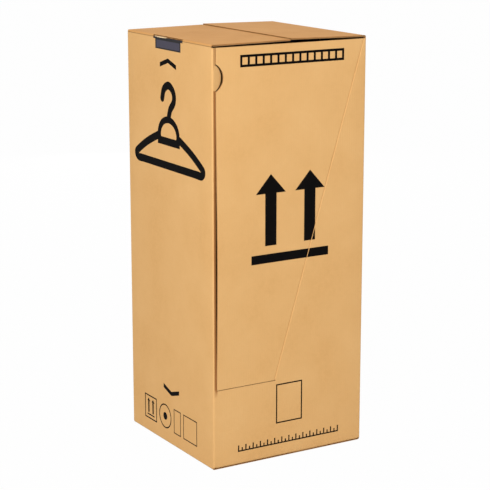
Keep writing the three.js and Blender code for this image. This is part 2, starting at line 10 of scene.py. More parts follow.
import bmesh
import bpy
import numpy as np
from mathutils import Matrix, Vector


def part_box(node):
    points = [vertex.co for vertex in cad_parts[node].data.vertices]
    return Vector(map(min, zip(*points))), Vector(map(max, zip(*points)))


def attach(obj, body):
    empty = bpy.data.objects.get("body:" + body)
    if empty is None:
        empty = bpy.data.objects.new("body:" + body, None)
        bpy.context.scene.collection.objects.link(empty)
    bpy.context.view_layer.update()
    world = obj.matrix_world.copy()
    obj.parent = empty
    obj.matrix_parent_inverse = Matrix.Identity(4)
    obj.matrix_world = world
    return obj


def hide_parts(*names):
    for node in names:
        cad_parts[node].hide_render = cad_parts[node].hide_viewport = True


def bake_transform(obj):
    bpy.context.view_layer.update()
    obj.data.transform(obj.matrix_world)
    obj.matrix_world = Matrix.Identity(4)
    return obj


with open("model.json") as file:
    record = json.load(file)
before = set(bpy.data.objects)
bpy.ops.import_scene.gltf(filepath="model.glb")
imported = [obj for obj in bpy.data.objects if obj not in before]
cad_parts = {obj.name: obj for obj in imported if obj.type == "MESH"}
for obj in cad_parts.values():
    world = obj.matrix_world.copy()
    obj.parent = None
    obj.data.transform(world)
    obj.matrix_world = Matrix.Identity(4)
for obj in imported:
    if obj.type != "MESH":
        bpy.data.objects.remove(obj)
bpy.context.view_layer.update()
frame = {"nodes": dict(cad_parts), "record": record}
MM = 0.001
SNAP = 2e-6

# Sizes of the carton, from the frame where it has them
body_low, body_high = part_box("carton_body")
LEFT, RIGHT = body_low[0], body_high[0]
FRONT, REAR = body_low[1], body_high[1]
JOINTS = {joint["name"]: joint for joint in frame["record"]["behaviour"]["joints"]}
HEIGHT = JOINTS["left_flap_fold"]["pos_m"][2]
HINGE = JOINTS["door_swing"]["pos_m"]
HINGE_AXIS = JOINTS["door_swing"]["axis"]
DOOR_FOOT = HINGE[2]
CREASE_SLOPE = HINGE_AXIS[0] / HINGE_AXIS[2]
BOARD = 4.2 * MM
FOLD_GAP = 0.3 * MM
BASE = body_low[2]
INNER_FLOOR = BASE + BOARD + FOLD_GAP
SIDE_TOP = body_high[2]
TOP_TRIM = 3.2 * MM
DOOR_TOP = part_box("door")[1][2] - TOP_TRIM
DOOR_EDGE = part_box("door")[0][0]
FOLD_RADIUS = 5 * MM
REAR_INSET = 0.6 * MM
OUTER_FLAP_CORNER = 0.5 * MM
SEAM_GAP = 3 * MM
FLAP_SETBACK = 0.8 * MM
INNER_FLAP_LENGTH = 243 * MM
INNER_FLAP_SIDE_GAP = 4 * MM
INNER_FLAP_CORNER = 14 * MM
GLUE_FLAP_WIDTH = 36 * MM
FLAP_RISE = {-1: math.radians(0.45), 1: math.radians(1.1)}
CORNER_NOTCH = 4 * MM
TAB_PUSH = 8 * MM
LIP_PUSH = 2.2 * MM
LIP_EASE = 10 * MM
LIP_SHADE_START = 3.2 * MM
LIP_SHADE_FADE = 1.2 * MM
LIP_SHADE_ABOVE = 0.45
TAB_CURL = 1.3
TAB_MARGIN = 4 * MM
DOOR_CUT_GAP = 2 * MM
DOOR_LIP = 11.5 * MM
DOOR_BOW = 7 * MM
DOOR_BOW_TOP = 1125 * MM
TAB_RADIUS = 39 * MM
TAB_GAP = 3 * MM
TAB_X = LEFT - 6 * MM
TAB_HEIGHT = 1129 * MM
SLOT_WIDTH = 150 * MM
SLOT_DEPTH = 38 * MM
EAR_WIDTH = 174 * MM
EAR_DEPTH = 10.5 * MM
SLOT_FLAP_NOTCH = 5 * MM

# Layers of the board
LINER = 0.5 * MM
FLUTE_PITCH = 7.9 * MM
FLUTE_SAMPLES = 10
FLUTE_PAPER = 0.28 * MM
FLUTE_SHOW = 16 * MM
FLUTE_STEP = 40 * MM
WHOLE_FLUTES = 1.6 * FLUTE_PITCH
CREASE_HALF = 4 * MM
CREASE_TOP_SHARE = 1.05
CREASE_GROOVE = 2 * MM
CREASE_SHARPNESS = 1.8
CREASE_COLUMNS = 9
CREASE_ROWS = 60

# How finely the blanks are cut
BEND_STEPS = 6
TAB_STEP = 4 * MM
TAB_POINTS = 41
WALL_STEP = 50 * MM
FLAP_STEP = 60 * MM
DOOR_STEP_ACROSS = 20 * MM
DOOR_STEP_UP = 30 * MM


def crease_x(z):
    """The door's slanted crease on the front."""
    return HINGE[0] + CREASE_SLOPE * (z - DOOR_FOOT)


def bow_at(x, z):
    """How far the door bellies out: nothing at the crease, most along its free edge."""
    along = np.clip((z - DOOR_FOOT) / (DOOR_BOW_TOP - DOOR_FOOT), 0, 1)
    across = np.clip((crease_x(z) - x) / (crease_x(z) - DOOR_EDGE), 0, 1)
    return DOOR_BOW * np.sin(np.pi * along**0.8) ** 1.6 * across**2


# Mesh helpers

def add_object(name, data):
    """Puts a mesh, a camera or a lamp into the scene."""
    obj = bpy.data.objects.new(name, data)
    bpy.context.scene.collection.objects.link(obj)
    return obj


def mesh_object(name, points, faces, across=None, smooth_angle=35, scored=None):
    """A smooth mesh object whose points carry the flute coordinate and the share of painted shade
    and crushed board.
    """
    mesh = bpy.data.meshes.new(name)
    mesh.from_pydata([tuple(p) for p in points], [], faces)
    mesh.validate()
    if across is not None:
        attribute = mesh.attributes.new("across", "FLOAT", "POINT")
        attribute.data.foreach_set("value", np.asarray(across, np.float32))
    if scored is not None:
        attribute = mesh.attributes.new("scored", "FLOAT", "POINT")
        attribute.data.foreach_set("value", np.asarray(scored, np.float32))
    mesh.shade_smooth()
    mesh.set_sharp_from_angle(angle=math.radians(smooth_angle))
    return add_object(name, mesh)


def face_outward(obj):
    """Turns every face of a closed mesh outward."""
    bm = bmesh.new()
    bm.from_mesh(obj.data)
    bmesh.ops.recalc_face_normals(bm, faces=bm.faces[:])
    bm.to_mesh(obj.data)
    bm.free()


def strip_faces(wide, tall, mirror=True):
    """The faces of a closed strip: two layers of wide by tall points, and the sides.

    With mirror, opposite sides are walked in opposite ways, so that all of them face outward.
    """
    layer = wide * tall
    faces = []
    for j in range(tall - 1):
        for i in range(wide - 1):
            a = j * wide + i
            faces.append([a, a + 1, a + wide + 1, a + wide])
            faces.append([layer + a, layer + a + wide, layer + a + wide + 1, layer + a + 1])
        for a, flip in ((j * wide, False), (j * wide + wide - 1, mirror)):
            side = [a, a + wide, layer + a + wide, layer + a]
            faces.append(side[::-1] if flip else side)
    for i in range(wide - 1):
        for a, flip in ((i, mirror), (layer - wide + i, False)):
            side = [a, a + 1, layer + a + 1, layer + a]
            faces.append(side[::-1] if flip else side)
    return faces


def cut_blank(outline, u_lines, v_lines):
    """The flat blank as points and faces, cut along the given lines so that it can be folded."""
    bm = bmesh.new()
    corners = [bm.verts.new((u, v, 0)) for u, v in outline]
    bm.faces.new(corners)
    for direction, lines in (((1, 0, 0), u_lines), ((0, 1, 0), v_lines)):
        for line in lines:
            everything = bm.verts[:] + bm.edges[:] + bm.faces[:]
            place = [line * c for c in direction]
            bmesh.ops.bisect_plane(
                bm, geom=everything, dist=1e-7, plane_co=place, plane_no=direction
            )
    bmesh.ops.recalc_face_normals(bm, faces=bm.faces[:])
    bm.verts.index_update()
    flat = np.array([v.co[:2] for v in bm.verts])
    faces = [[v.index for v in f.verts] for f in bm.faces]
    edges = [[v.index for v in e.verts] for e in bm.edges if len(e.link_faces) == 1]
    bm.free()
    return flat, faces, edges


def sheet(name, outline, u_lines, v_lines, place, depth0, depth1, crushed_and_shade_of=None):
    """A closed sheet of paper between two depths under the board's outer face."""
    flat, faces, edges = cut_blank(outline, u_lines, v_lines)
    count = len(flat)
    u, v = flat[:, 0], flat[:, 1]
    points = np.vstack([place(u, v, np.full(count, d)) for d in (depth0, depth1)])
    near = [list(f) for f in faces]
    far = [[i + count for i in reversed(f)] for f in faces]
    sides = [[a, b, b + count, a + count] for a, b in edges]
    scored = None if crushed_and_shade_of is None else np.tile(crushed_and_shade_of(u, v), 2)
    obj = mesh_object(name, points, near + far + sides, np.tile(u, 2), scored=scored)
    face_outward(obj)
    return obj


def spans(outline, u):
    """Where the line at u runs inside the outline, as pairs of v."""
    crossings = []
    for (u0, v0), (u1, v1) in zip(outline, outline[1:] + outline[:1]):
        if (u0 <= u) != (u1 <= u):
            crossings.append(v0 + (v1 - v0) * (u - u0) / (u1 - u0))
    crossings.sort()
    return list(zip(crossings[::2], crossings[1::2]))


def flutes(name, outline, place, full):
    """The wavy middle paper: near every cut end, and whole in the ranges of u in full."""
    u_low = min(p[0] for p in outline)
    u_high = max(p[0] for p in outline)
    step = FLUTE_PITCH / FLUTE_SAMPLES
    columns = np.arange(math.ceil(u_low / step), math.floor(u_high / step) + 1) * step
    middle = BOARD / 2
    swing = BOARD / 2 - LINER - FLUTE_PAPER / 2
    points, across, faces = [], [], []
    last = None
    for u in columns:
        whole = any(a <= u <= b for a, b in full)
        depth = middle + swing * math.sin(2 * math.pi * u / FLUTE_PITCH)
        rows = []
        for v0, v1 in spans(outline, u):
            if v1 - v0 < 2 * FLUTE_SHOW or whole:
                count = max(2, int((v1 - v0) / FLUTE_STEP) + 1)
                rows.append(np.linspace(v0, v1, count) if whole else np.linspace(v0, v1, 2))
            else:
                rows.append(np.array([v0, v0 + FLUTE_SHOW]))
                rows.append(np.array([v1 - FLUTE_SHOW, v1]))
        here = []
        for row in rows:
            for side in (-0.5, 0.5):
                here.append((len(points), len(row)))
                offsets = np.full(len(row), depth + side * FLUTE_PAPER)
                points.extend(place(np.full(len(row), u), row, offsets))
                across.extend([u] * len(row))
        if last and [n for _, n in last] == [n for _, n in here]:
            for k, ((a, n), (b, _)) in enumerate(zip(last, here)):
                for i in range(n - 1):
                    face = [a + i, b + i, b + i + 1, a + i + 1]
                    faces.append(face if k % 2 else face[::-1])
        last = here
    return mesh_object(name, np.array(points), faces, across, 60)


def arc(cx, cy, radius, start, end, count):
    """Points on a circle, from one angle to another in degrees."""
    angles = np.radians(np.linspace(start, end, count))
    return [(cx + radius * math.cos(a), cy + radius * math.sin(a)) for a in angles]


def lines(start, end, step):
    """Evenly spaced cuts from start to end, both included."""
    count = max(1, round((end - start) / step))
    return list(np.linspace(start, end, count + 1))


def dress(obj, body, slot, material, *nodes):
    """Gives a piece its material and body, and hides the nodes that it stands for; the slot is not
    used.
    """
    obj.data.materials.clear()
    obj.data.materials.append(material)
    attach(obj, body)
    if nodes:
        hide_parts(*nodes)
    return obj


# Materials

def new_material(name):
    """An empty material with one shader joined to its output."""
    material = bpy.data.materials.new(name)
    material.use_nodes = True
    tree = material.node_tree
    tree.nodes.clear()
    output = tree.nodes.new("ShaderNodeOutputMaterial")
    shader = tree.nodes.new("ShaderNodeBsdfPrincipled")
    tree.links.new(shader.outputs[0], output.inputs[0])
    return material, tree, shader


def node(tree, kind, **values):
    """A node with its settings, and its sockets set by name or joined to another node's output."""
    made = tree.nodes.new(kind)
    for key, value in values.items():
        if hasattr(made, key):
            setattr(made, key, value)
            continue
        label = int(key[2:]) if key.startswith("in") else key.replace("_", " ").title()
        socket = made.inputs[label]
        if isinstance(value, bpy.types.NodeSocket):
            tree.links.new(value, socket)
        else:
            socket.default_value = value
    return made


def noise(tree, coords, scale, detail, rough, stretch=(1, 1, 1)):
    moved = node(tree, "ShaderNodeMapping", in0=coords, in3=stretch)
    source = moved.outputs[0]
    made = node(tree, "ShaderNodeTexNoise", in0=source, in2=scale, in3=detail, in4=rough)
    return made.outputs[0]


def math_node(tree, operation, a, b=0.0):
    return node(tree, "ShaderNodeMath", operation=operation, in0=a, in1=b).outputs[0]


def ramp(tree, value, low, high):
    """Maps a value from low..high to 0..1, clamped."""
    made = node(tree, "ShaderNodeMapRange", in0=value, in1=low, in2=high, in3=0.0, in4=1.0)
    return made.outputs[0]


def mix(tree, share, a, b):
    made = tree.nodes.new("ShaderNodeMix")
    made.data_type = "RGBA"
    for socket, value in ((made.inputs[0], share), (made.inputs[6], a), (made.inputs[7], b)):
        if isinstance(value, bpy.types.NodeSocket):
            tree.links.new(value, socket)
        else:
            socket.default_value = value
    return made.outputs[2]


def colour(red, green, blue):
    """A linear colour from sRGB values of 0 to 255."""
    parts = [c / 255 for c in (red, green, blue)]
    return (*[p / 12.92 if p <= 0.04045 else ((p + 0.055) / 1.055) ** 2.4 for p in parts], 1.0)


def kraft(name, tone, dark, light, washboard_and_shade=1.0):
    """Kraft paper: cloudy pulp, fine fibres, dark flecks, a faint washboard from the flutes with
    painted shade along its ripples, and painted shade with crushed board on the lip beside the
    door.
    """
    material, tree, shader = new_material(name)
    coords = tree.nodes.new("ShaderNodeTexCoord").outputs["Object"]
    clouds = noise(tree, coords, 7.0, 4.0, 0.6)
    pulp = noise(tree, coords, 90.0, 4.0, 0.65)
    fibres = noise(tree, coords, 420.0, 3.0, 0.6, (1.0, 1.0, 0.22))
    flecks = noise(tree, coords, 900.0, 1.0, 0.5)
    across = node(tree, "ShaderNodeAttribute", attribute_name="across").outputs["Fac"]
    wave = math_node(tree, "SINE", math_node(tree, "MULTIPLY", across, 2 * math.pi / FLUTE_PITCH))
    base = mix(tree, ramp(tree, clouds, 0.30, 0.74), dark, light)
    base = mix(tree, ramp(tree, pulp, 0.25, 0.80), base, tone)
    shade = math_node(tree, "MULTIPLY", ramp(tree, fibres, 0.35, 0.75), 0.10)
    base = mix(tree, shade, base, dark)
    # Painted shade: stripes darkened along the flute wave stand for the shade in the washboard's
    # ripples.
    line = math_node(tree, "MULTIPLY", ramp(tree, wave, -0.2, 1.0), 0.10 * washboard_and_shade)
    base = mix(tree, line, base, dark)
    speck = math_node(tree, "MULTIPLY", ramp(tree, flecks, 0.70, 0.78), 0.35)
    base = mix(tree, speck, base, colour(150, 104, 60))
    # Painted shade: the lip beside the door is darkened toward brown for the shade it lies in
    # behind the door's edge, together with its crushed board.
    scored = node(tree, "ShaderNodeAttribute", attribute_name="scored").outputs["Fac"]
    base = mix(tree, scored, base, colour(168, 112, 60))
    tree.links.new(base, shader.inputs["Base Color"])
    shader.inputs["Roughness"].default_value = 0.86
    shader.inputs["Specular IOR Level"].default_value = 0.22
    washboard = math_node(tree, "MULTIPLY", wave, 0.5 * washboard_and_shade)
    height = math_node(tree, "ADD", washboard, math_node(tree, "MULTIPLY", fibres, 0.6))
    bump = node(tree, "ShaderNodeBump", in0=0.35, in1=0.00018, Height=height)
    tree.links.new(bump.outputs[0], shader.inputs["Normal"])
    return material


def ink_material():
    """Black print with a little of the paper showing through."""
    material, tree, shader = new_material("ink_black")
    coords = tree.nodes.new("ShaderNodeTexCoord").outputs["Object"]
    cover = noise(tree, coords, 55.0, 4.0, 0.6)
    grain = noise(tree, coords, 1400.0, 2.0, 0.5)
    base = mix(tree, ramp(tree, cover, 0.3, 0.8), colour(4, 3, 3), colour(11, 8, 7))
    worn = math_node(tree, "MULTIPLY", ramp(tree, grain, 0.68, 0.76), 0.07)
    base = mix(tree, worn, base, colour(120, 88, 60))
    tree.links.new(base, shader.inputs["Base Color"])
    shader.inputs["Roughness"].default_value = 0.8
    shader.inputs["Specular IOR Level"].default_value = 0.06
    return material


def plastic_material(name, dark, light):
    """Moulded plastic with a fine grain and cloudy gloss."""
    material, tree, shader = new_material(name)
    coords = tree.nodes.new("ShaderNodeTexCoord").outputs["Object"]
    cloud = noise(tree, coords, 18.0, 3.0, 0.5)
    grain = noise(tree, coords, 1500.0, 2.0, 0.5)
    tree.links.new(mix(tree, cloud, dark, light), shader.inputs["Base Color"])
    rough = node(tree, "ShaderNodeMapRange", in0=cloud, in1=0.3, in2=0.7, in3=0.48, in4=0.60)
    tree.links.new(rough.outputs[0], shader.inputs["Roughness"])
    shader.inputs["Specular IOR Level"].default_value = 0.2
    bump = node(tree, "ShaderNodeBump", in0=0.25, in1=0.0001, Height=grain)
    tree.links.new(bump.outputs[0], shader.inputs["Normal"])
    return material


def tape_material():
    """Brown packing tape with faint cross wrinkles."""
    material, tree, shader = new_material("tape_brown")
    coords = tree.nodes.new("ShaderNodeTexCoord").outputs["Object"]
    wrinkles = noise(tree, coords, 60.0, 3.0, 0.6, (0.2, 1.0, 1.0))
    base = mix(tree, wrinkles, colour(168, 124, 72), colour(188, 144, 92))
    tree.links.new(base, shader.inputs["Base Color"])
    shader.inputs["Roughness"].default_value = 0.28
    bump = node(tree, "ShaderNodeBump", in0=0.3, in1=0.0003, Height=wrinkles)
    tree.links.new(bump.outputs[0], shader.inputs["Normal"])
    return material


OUTER = kraft("kraft_outer", colour(227, 178, 116), colour(218, 168, 105), colour(231, 185, 124))
# Painted shade: a darker, more orange copy of the outer kraft for the top flaps, for the top lying
# in less light.
OUTER_TOP_SHADED = kraft("kraft_top", colour(211, 155, 92), colour(201, 145, 82), colour(218, 164, 101))
INNER = kraft("kraft_inner", colour(208, 160, 104), colour(190, 142, 90), colour(216, 170, 114))
MEDIUM = kraft(
    "kraft_flutes", colour(192, 142, 88), colour(168, 120, 70), colour(202, 154, 100), 0.0
)
INK_BLACK = ink_material()
PLASTIC = plastic_material("bar_plastic", colour(48, 45, 58), colour(72, 68, 84))
# Painted shade: a near-black plastic for a rim that stands for the dark gaps round the bar's end
# plate.
PLASTIC_SHADE_RIM = plastic_material("bar_plastic_rim", colour(8, 6, 7), colour(16, 13, 15))
# Painted highlight: a pale kraft for the lit cut edge of the left flap's notch.
EDGE_HIGHLIGHT = kraft("kraft_torn", colour(238, 206, 160), colour(220, 182, 132), colour(246, 220, 180), 0.0)
TAPE = tape_material()


# The carton's folded sheet: u runs round the walls from the free edge of the right wall

R = FOLD_RADIUS
GLUE_X = RIGHT - BOARD
U_RIGHT = 0.0
U_RIGHT_END = (REAR - REAR_INSET) - (FRONT + R)
CORNER = R * math.pi / 2
U_FRONT = U_RIGHT_END + CORNER
U_FRONT_END = U_FRONT + (RIGHT - LEFT - 2 * R)
U_LEFT = U_FRONT_END + CORNER
U_LEFT_END = U_LEFT + (REAR - FRONT - 2 * R)
U_REAR = U_LEFT_END + CORNER
U_REAR_END = U_REAR + (GLUE_X - R) - (LEFT + R)
U_GLUE = U_REAR_END + CORNER
U_END = U_GLUE + GLUE_FLAP_WIDTH

# Each straight run: its start and end in u, its place, its way, and its bottom and top folds
RUNS = (
    (U_RIGHT, U_RIGHT_END, (RIGHT, REAR - REAR_INSET), (0, -1), BASE, None),
    (U_FRONT, U_FRONT_END, (RIGHT - R, FRONT), (-1, 0), INNER_FLOOR, None),
    (U_LEFT, U_LEFT_END, (LEFT, FRONT + R), (0, 1), BASE, None),
    (U_REAR, U_REAR_END, (LEFT + R, REAR), (1, 0), INNER_FLOOR, SIDE_TOP),
    (U_GLUE, U_END, (GLUE_X, REAR - R), (0, -1), None, None),
)


def lip_crushed_and_shade(u, v):
    """How much the lip beside the door is darkened, from just past the fold: painted shade for the
    shade it lies in behind the door's edge, together with its crushed board.
    """
    x = U_FRONT + (RIGHT - R) - u
    lip = np.clip((x - LEFT - LIP_SHADE_START) / LIP_SHADE_FADE, 0, 1)
    lip = lip * (x < LEFT + DOOR_LIP + SNAP)
    below = (v > DOOR_FOOT - SNAP) & (v < TAB_HEIGHT - TAB_RADIUS + TAB_MARGIN)
    above = (v > TAB_HEIGHT + TAB_RADIUS - TAB_MARGIN) & (v < SIDE_TOP)
    return lip * (1.0 * below + LIP_SHADE_ABOVE * above)


def push_at(u, v):
    """How far the lip and the half-moon tab beside the door are pressed in."""
    x = U_FRONT + (RIGHT - R) - u
    beside = np.clip((x - LEFT - R) / (DOOR_LIP - R), 0, 1)
    beside = beside * (v > DOOR_FOOT) * (x < LEFT + TAB_RADIUS)
    lip = LIP_PUSH * beside * np.clip((v - DOOR_FOOT) / LIP_EASE, 0, 1)
    tab = TAB_PUSH * np.clip((x - LEFT) / (TAB_X + TAB_RADIUS - LEFT), 0, 1) ** TAB_CURL
    inside = np.hypot(x - TAB_X, v - TAB_HEIGHT) < TAB_RADIUS + SNAP
    return np.where(beside > 0, np.where(inside, np.maximum(tab, 0), lip), 0.0)


def place_carton(u, v, depth):
    """Folds the blank into the standing carton."""
    u, v, depth = (np.asarray(a, float) for a in (u, v, depth))
    depth = depth + push_at(u, v)
    out = np.zeros((len(u), 3))
    for i, (start, end, origin, way, foot, top) in enumerate(RUNS):
        way = np.array(way, float)
        inward = np.array([way[1], -way[0]])
        mine = (u >= start - SNAP) & (u <= end + SNAP)
        along = origin + np.outer(u[mine] - start, way)
        rise, inset = v[mine].copy(), depth[mine].copy()
        for level, sign in ((foot, 1), (top, -1)):
            if level is None:
                continue
            bend = level + sign * R
            past = (bend - v[mine]) * sign
            turn = np.clip(past / R, 0, math.pi / 2)
            flat = np.maximum(past - R * math.pi / 2, 0)
            folded = past > 0
            arm = R - depth[mine]
            rise = np.where(folded, bend - sign * arm * np.sin(turn), rise)
            inset = np.where(folded, R - arm * np.cos(turn) + flat, inset)
        out[mine, :2] = along + inset[:, None] * inward
        out[mine, 2] = rise
        if i + 1 < len(RUNS):
            follow = RUNS[i + 1][0]
            bent = (u > end + SNAP) & (u < follow - SNAP)
            angle = (u[bent] - end) / R
            centre = np.array(origin) + way * (end - start) + inward * R
            spoke = np.outer(np.sin(angle), way) - np.outer(np.cos(angle), inward)
            out[bent, :2] = centre + spoke * (R - depth[bent])[:, None]
            out[bent, 2] = v[bent]
    return out


def u_of_front(x):
    """Where a place on the front wall lies on the blank."""
    return U_FRONT + (RIGHT - R) - x


def u_of_left(y):
    """Where a place on the left wall lies on the blank."""
    return U_LEFT + y - (FRONT + R)


def u_of_right(y):
    """Where a place on the right wall lies on the blank."""
    return U_RIGHT + (REAR - REAR_INSET) - y


def bottom_flap(u0, u1, level, length, corner):
    """The points of a bottom flap from u0 to u1, with its free corners cut, going up in u."""
    tip = level + R - CORNER - (length - R)
    root = level + R
    left = [(u0, root), (u0, tip + corner), (u0 + corner, tip)]
    return left + [(u1 - corner, tip), (u1, tip + corner), (u1, root)]


def t_slot(middle):
    """The T slot at the top of a side wall, walked down in u."""
    half, ear = SLOT_WIDTH / 2, EAR_WIDTH / 2
    floor, step = HEIGHT - SLOT_DEPTH, HEIGHT - EAR_DEPTH
    shape = [(ear, SIDE_TOP), (ear, step), (half, step), (half, floor)]
    shape += [(-a, v) for a, v in reversed(shape)]
    return [(middle + a, v) for a, v in shape]


def tab_outline():
    """The half-moon tab from its foot to its top, in u and v, where it leaves the lip."""
    reach = math.degrees(math.acos((LEFT + DOOR_LIP - TAB_X) / TAB_RADIUS))
    curve = arc(TAB_X, TAB_HEIGHT, TAB_RADIUS, -reach, reach, TAB_POINTS)
    return [(u_of_front(x), z) for x, z in curve]


def carton_outline():
    """The whole blank, anticlockwise in u and v."""
    half_seam = (RIGHT - LEFT) / 2 - SEAM_GAP / 2
    set_right = (u_of_right(REAR - FLAP_SETBACK), u_of_right(FRONT + R))
    set_left = (u_of_left(FRONT + R), u_of_left(REAR - R))
    side = BOARD + INNER_FLAP_SIDE_GAP
    front = (u_of_front(RIGHT - side), u_of_front(LEFT + side))
    rear = (U_REAR + (side - R), U_REAR_END - INNER_FLAP_SIDE_GAP)
    cut_edge = u_of_front(LEFT + DOOR_LIP)
    crease_foot = u_of_front(HINGE[0]) - CREASE_HALF
    crease_top = u_of_front(crease_x(DOOR_TOP)) - CREASE_HALF * CREASE_TOP_SHARE
    glue_foot = INNER_FLOOR + BOARD + FOLD_GAP
    glue_top = SIDE_TOP - BOARD - 2 * FOLD_GAP
    top_tip = SIDE_TOP - R + CORNER + (INNER_FLAP_LENGTH - R)
    bottom = bottom_flap(*set_right, BASE, half_seam, OUTER_FLAP_CORNER)
    bottom += bottom_flap(*front, INNER_FLOOR, INNER_FLAP_LENGTH, INNER_FLAP_CORNER)
    bottom += bottom_flap(*set_left, BASE, half_seam, OUTER_FLAP_CORNER)
    bottom += bottom_flap(*rear, INNER_FLOOR, INNER_FLAP_LENGTH, INNER_FLAP_CORNER)
    glue = [
        (U_GLUE, INNER_FLOOR + R),
        (U_GLUE, glue_foot),
        (U_END, glue_foot + GLUE_FLAP_WIDTH / 2),
        (U_END, glue_top - GLUE_FLAP_WIDTH / 2),
        (U_GLUE, glue_top),
        (U_GLUE, SIDE_TOP - R),
    ]
    lid = [
        (rear[1], SIDE_TOP - R),
        (rear[1], top_tip - INNER_FLAP_CORNER),
        (rear[1] - INNER_FLAP_CORNER, top_tip),
        (rear[0] + INNER_FLAP_CORNER, top_tip),
        (rear[0], top_tip - INNER_FLAP_CORNER),
        (rear[0], SIDE_TOP - R),
    ]
    left_wall = [(U_LEFT_END + CORNER * 0.5, SIDE_TOP - R), (U_LEFT_END, SIDE_TOP)]
    left_wall += t_slot(u_of_left(0.0))
    left_wall += [(U_LEFT + CORNER_NOTCH, SIDE_TOP), (U_LEFT, SIDE_TOP - CORNER_NOTCH)]
    left_wall += [(cut_edge, SIDE_TOP - CORNER_NOTCH)]
    doorway = tab_outline()[::-1]
    doorway += [(cut_edge, DOOR_FOOT), (crease_foot, DOOR_FOOT), (crease_top, DOOR_TOP)]
    bend = U_RIGHT_END + CORNER * 0.5
    right_wall = [(bend, DOOR_TOP), (bend, SIDE_TOP), (U_RIGHT_END, SIDE_TOP)]
    right_wall += t_slot(u_of_right(0.0))
    right_wall += [(U_RIGHT, SIDE_TOP)]
    outline = bottom + glue + lid + left_wall + doorway + right_wall
    tidy = [outline[0]]
    for point in outline[1:]:
        if math.dist(point, tidy[-1]) > 1e-5:
            tidy.append(point)
    return tidy


def build_board(name, body, cad_node, slot, material, outline, cuts, place, whole, crushed_and_shade_of=None):
    """Two liners and the fluted paper between them, on one body, in place of a CAD node."""
    outer = sheet(f"{name}_outer_liner", outline, *cuts, place, 0, LINER, crushed_and_shade_of)
    inner = sheet(f"{name}_inner_liner", outline, *cuts, place, BOARD - LINER, BOARD)
    middle = flutes(f"{name}_flutes", outline, place, whole)
    dress(outer, body, slot, material, cad_node)
    dress(inner, body, slot, INNER)
    dress(middle, body, slot, MEDIUM)


def build_carton():
    """The folded sheet that stands still."""
    u_lines = lines(u_of_front(LEFT + TAB_RADIUS), u_of_front(LEFT + DOOR_LIP), TAB_STEP)
    for start, end, *_ in RUNS:
        u_lines += lines(start, end, WALL_STEP)
    for start in (U_RIGHT_END, U_FRONT_END, U_LEFT_END, U_REAR_END):
        u_lines += lines(start, start + CORNER, CORNER / BEND_STEPS)[1:-1]
    v_lines = lines(0.02, SIDE_TOP - 0.02, WALL_STEP) + [DOOR_FOOT + LIP_EASE]
    for level in (BASE, INNER_FLOOR):
        v_lines += lines(level + R - CORNER, level + R, CORNER / BEND_STEPS)
    v_lines += lines(SIDE_TOP - R, SIDE_TOP - R + CORNER, CORNER / BEND_STEPS)
    v_lines += lines(-0.2, -0.02, FLAP_STEP) + lines(SIDE_TOP + 0.04, SIDE_TOP + 0.2, FLAP_STEP)
    for inset in (LIP_SHADE_START, LIP_SHADE_START + LIP_SHADE_FADE, R):
        u_lines.append(u_of_front(LEFT + inset))
    v_lines += [TAB_HEIGHT - TAB_RADIUS + TAB_MARGIN, TAB_HEIGHT + TAB_RADIUS - TAB_MARGIN]
    cut_edge = u_of_front(LEFT + DOOR_LIP)
    whole = [(u, u + WHOLE_FLUTES) for u in (U_RIGHT, cut_edge, U_END - WHOLE_FLUTES)]
    build_board(
        "carton", "carton", "carton_body", "board", OUTER,
        carton_outline(), (u_lines, v_lines), place_carton, whole, lip_crushed_and_shade,
    )


# The door

def place_door(u, v, depth):
    """Stands the door's blank in the front wall, bellied out a little."""
    u, v, depth = (np.asarray(a, float) for a in (u, v, depth))
    return np.stack([u, FRONT - bow_at(u, v) + depth, v], axis=1)


def door_outline():
    """The door from its free edge to the crease, with the notch round the half-moon tab."""
    foot = DOOR_FOOT + DOOR_CUT_GAP
    radius = TAB_RADIUS + TAB_GAP
    reach = math.degrees(math.acos((DOOR_EDGE - TAB_X) / radius))
    notch = arc(TAB_X, TAB_HEIGHT, radius, reach, -reach, TAB_POINTS)
    return [
        (DOOR_EDGE, foot),
        (crease_x(foot) - CREASE_HALF, foot),
        (crease_x(DOOR_TOP) - CREASE_HALF, DOOR_TOP),
        (DOOR_EDGE, DOOR_TOP),
    ] + notch


def build_door():
    """The panel that swings out."""
    u_lines = lines(DOOR_EDGE + 0.01, crease_x(DOOR_TOP) - 0.02, DOOR_STEP_ACROSS)
    v_lines = lines(DOOR_FOOT + 0.02, DOOR_TOP - 0.01, DOOR_STEP_UP)
    whole = [(DOOR_EDGE, DOOR_EDGE + WHOLE_FLUTES)]
    build_board(
        "door", "door", "door", "board", OUTER,
        door_outline(), (u_lines, v_lines), place_door, whole,
    )


def build_door_crease():
    """The strip of liner that joins the door to the fixed front, pressed in along the crease."""
    across = np.linspace(-1, 1, CREASE_COLUMNS)
    rows = np.linspace(DOOR_FOOT + DOOR_CUT_GAP, DOOR_TOP, CREASE_ROWS)
    points, flute = [], []
    for depth in (0.0, LINER):
        for z in rows:
            for a in across:
                x = crease_x(z) + a * CREASE_HALF
                dip = CREASE_GROOVE * max(0.0, 1 - abs(a) * CREASE_SHARPNESS)
                points.append((x, FRONT - bow_at(x, z) + dip + depth, z))
                flute.append(x)
    strip = mesh_object("door_crease", points, strip_faces(CREASE_COLUMNS, CREASE_ROWS), flute)
    strip.data.materials.append(OUTER)
    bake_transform(strip)


# The outer top flaps: u runs along the crease, v from the crease to the seam

FLAP_ROOT_SHARE = 0.35
FLAP_SLANT = 3 * MM
STRIP_END_GAP = 4 * MM
STRIP_FOOT = -0.15
STRIP_FOOT_DROP = 1.5
STRIP_TURNS = 9
STRIP_COLUMNS = 12


